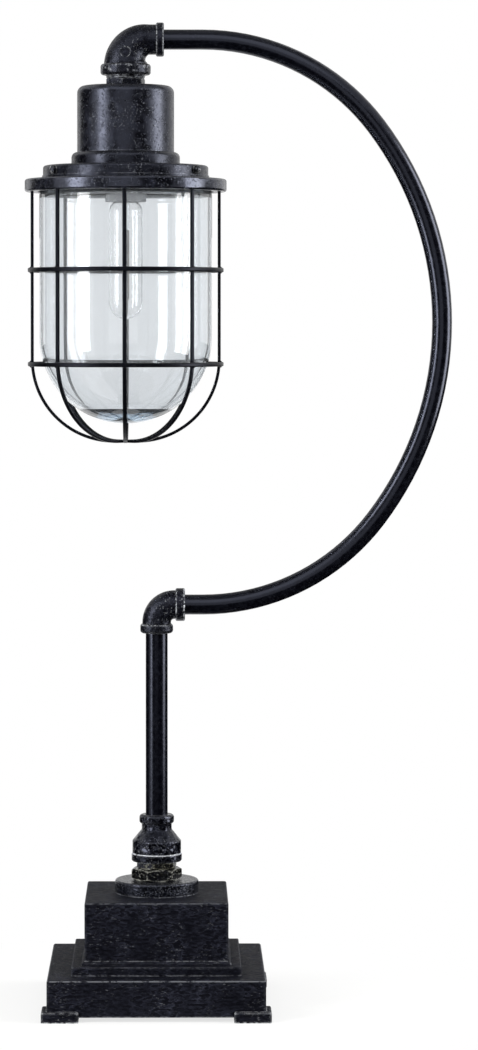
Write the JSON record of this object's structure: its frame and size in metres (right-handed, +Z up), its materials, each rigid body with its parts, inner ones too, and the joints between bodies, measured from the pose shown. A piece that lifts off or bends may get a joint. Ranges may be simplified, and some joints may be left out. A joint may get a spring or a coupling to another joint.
{
  "type": "desk lamp",
  "caption": "Industrial pipe desk lamp: stepped square base, iron pipe fittings, C-shaped arm and a hanging caged glass jar with a tubular bulb.",
  "frame": {"origin": "on the table, under the middle of the base and the upright's axis", "axes": "+Z up along the upright, +X towards the arm's bow, -Y the front"},
  "size_m": [0.277, 0.146, 0.6364],
  "materials": {
    "painted_base": "black paint, brushed, silver-grey on the edges",
    "black_pipe": "black, satin, silver rub on high spots",
    "black_cast_iron": "black cast iron with a faint silver rub",
    "rubbed_fitting": "black iron rubbed to an olive-grey metal",
    "black_spun_metal": "black, satin",
    "cage_steel": "black, satin",
    "screw_steel": "blackened steel",
    "plain_steel": "zinc-plated steel",
    "jar_glass": "clear pressed glass",
    "bulb_glass": "clear thin glass",
    "holder_ceramic": "unglazed, off-white",
    "brass": "plain brass",
    "cap_metal": "plain metal",
    "filament": "grey wire",
    "black_rubber": "matt black rubber",
    "lead_sheath": "black sheath",
    "terminal_plastic": "off-white plastic",
    "cover_board": "brown board"
  },
  "bodies": {
    "base": {"plinth": "painted_base", "corner_feet": "painted_base", "foot_screws": "plain_steel", "step_moulding": "painted_base", "pedestal_block": "painted_base", "base_cover": "cover_board", "ballast_plate": "plain_steel", "cord_bushing": "black_rubber", "terminal_block": "terminal_plastic", "tie_rod": "plain_steel", "rod_washer": "plain_steel", "rod_nut": "plain_steel", "base_lead": "lead_sheath", "floor_flange": "black_cast_iron", "lock_nut": "rubbed_fitting", "hex_bushing": "rubbed_fitting", "bell_reducer": "black_cast_iron", "upright_pipe": "black_pipe"},
    "arm": {"lower_elbow": "black_cast_iron", "arm_pipe": "black_pipe", "upper_elbow": "black_cast_iron", "arm_lead": "lead_sheath"},
    "head": {"neck_nipple": "black_cast_iron", "neck_lock_nut": "black_cast_iron", "inner_lock_nut": "plain_steel", "lamp_cup": "black_spun_metal", "gallery_collar": "black_spun_metal", "holder_stem": "plain_steel", "lampholder_body": "holder_ceramic", "lampholder_sleeve": "brass", "lampholder_contact": "brass", "shade_ring": "holder_ceramic", "head_lead": "lead_sheath"},
    "cage": {"glass_ring": "black_spun_metal", "ring_screws": "plain_steel", "cage_flange": "black_spun_metal", "cage_hoop_upper": "cage_steel", "cage_hoop_lower": "cage_steel", "glass_jar": "jar_glass", "jar_gasket": "black_rubber", "cage_rib_1": "cage_steel", "cage_rib_2": "cage_steel", "cage_rib_3": "cage_steel", "cage_rib_4": "cage_steel", "cage_rib_5": "cage_steel", "cage_rib_6": "cage_steel", "cage_rib_7": "cage_steel", "cage_rib_8": "cage_steel"},
    "bulb": {"bulb_glass": "bulb_glass", "bulb_cap": "cap_metal", "bulb_tip": "brass", "bulb_stem": "bulb_glass", "bulb_filament": "filament"},
    "collar_screw_1": {"collar_screw_1": "screw_steel"},
    "collar_screw_2": {"collar_screw_2": "screw_steel"},
    "collar_screw_3": {"collar_screw_3": "screw_steel"}
  },
  "joints": [
    {"name": "arm_swing", "type": "hinge", "parent": "base", "child": "arm", "pos_m": [0, 0, 0.2408], "axis": [0, 0, 1], "range_deg": [-90, 90]},
    {"name": "head_swivel", "type": "hinge", "parent": "arm", "child": "head", "pos_m": [-0.02, 0, 0.6024], "axis": [0, 0, 1], "range_deg": [-170, 170]},
    {"name": "cage_drop", "type": "slide", "parent": "head", "child": "cage", "axis": [0, 0, 1], "range_m": [-0.088, 0]},
    {"name": "bulb_turn", "type": "hinge", "parent": "head", "child": "bulb", "pos_m": [-0.02, 0, 0.54], "axis": [0, 0, 1], "range_deg": [0, 1080]},
    {"name": "collar_screw_1_back_off", "type": "slide", "parent": "head", "child": "collar_screw_1", "axis": [-0.8387, -0.5446, 0], "range_m": [0, 0.0018]},
    {"name": "collar_screw_2_back_off", "type": "slide", "parent": "head", "child": "collar_screw_2", "axis": [0.8387, -0.5446, 0], "range_m": [0, 0.0018]},
    {"name": "collar_screw_3_back_off", "type": "slide", "parent": "head", "child": "collar_screw_3", "axis": [0, 1, 0], "range_m": [0, 0.0018]}
  ]
}
